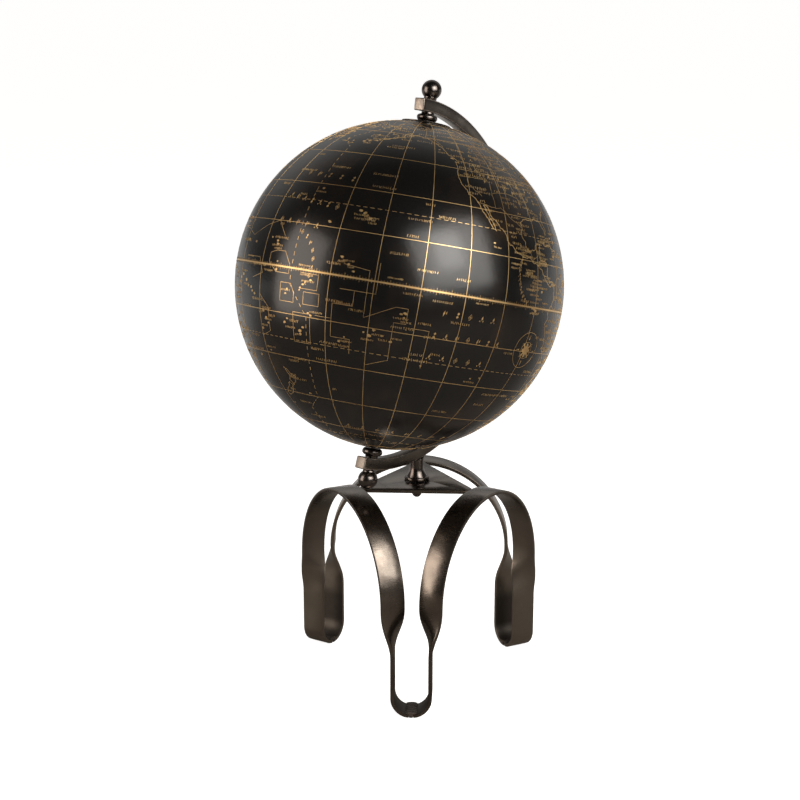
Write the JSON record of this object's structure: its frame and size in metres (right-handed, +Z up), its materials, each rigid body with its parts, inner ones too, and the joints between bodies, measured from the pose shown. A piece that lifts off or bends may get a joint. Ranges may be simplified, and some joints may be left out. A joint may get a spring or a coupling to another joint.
{
  "type": "desktop globe on stand",
  "caption": "Tabletop globe with a gilt map on black lacquer, turning on a tilted axle in a C-shaped square-bar arm, on a stand of twisted flat straps bent into arches and looped feet.",
  "frame": {"origin": "centre of the object's footprint on the surface it stands on, straight below the globe's centre", "axes": "+Z up, +Y away from the front foot, +X to the right seen from the front foot"},
  "size_m": [0.254, 0.2536, 0.4773],
  "materials": {
    "black_lacquer": "black lacquer with gilt print, semi-gloss",
    "dark_bronze": "dark bronze over steel, satin, worn lighter on the edges",
    "black_nickel": "dark polished metal, glossy",
    "plain_steel": "plain turned steel",
    "weld": "rough weld bead under the finish",
    "board": "pressed board, unseen inside the globe"
  },
  "bodies": {
    "stand": {"leg_strap_rear": "dark_bronze", "leg_strap_left": "dark_bronze", "leg_strap_right": "dark_bronze", "top_plate": "dark_bronze", "crown_weld_rear": "weld", "crown_weld_left": "weld", "crown_weld_right": "weld", "foot_weld_front": "weld", "foot_weld_left": "weld", "foot_weld_right": "weld"},
    "arm": {"meridian_arm": "dark_bronze", "arm_post": "black_nickel", "post_bolt": "plain_steel", "post_washer": "plain_steel", "dome_nut": "black_nickel", "axle_rod": "plain_steel", "north_spacer": "black_nickel", "south_spacer": "black_nickel", "north_finial": "black_nickel", "south_finial": "black_nickel"},
    "globe": {"globe_north_shell": "black_lacquer", "globe_south_shell": "black_lacquer", "equator_band": "board", "north_bush": "plain_steel", "south_bush": "plain_steel", "north_cap": "dark_bronze"}
  },
  "joints": [
    {"name": "arm_swivel", "type": "hinge", "parent": "stand", "child": "arm", "pos_m": [0.01317, 0.01711, 0.1605], "axis": [0, 0, 1], "continuous": true},
    {"name": "globe_spin", "type": "hinge", "parent": "arm", "child": "globe", "pos_m": [0, 0, 0.32218], "axis": [0.1528, 0.1984, 0.9681], "continuous": true}
  ]
}
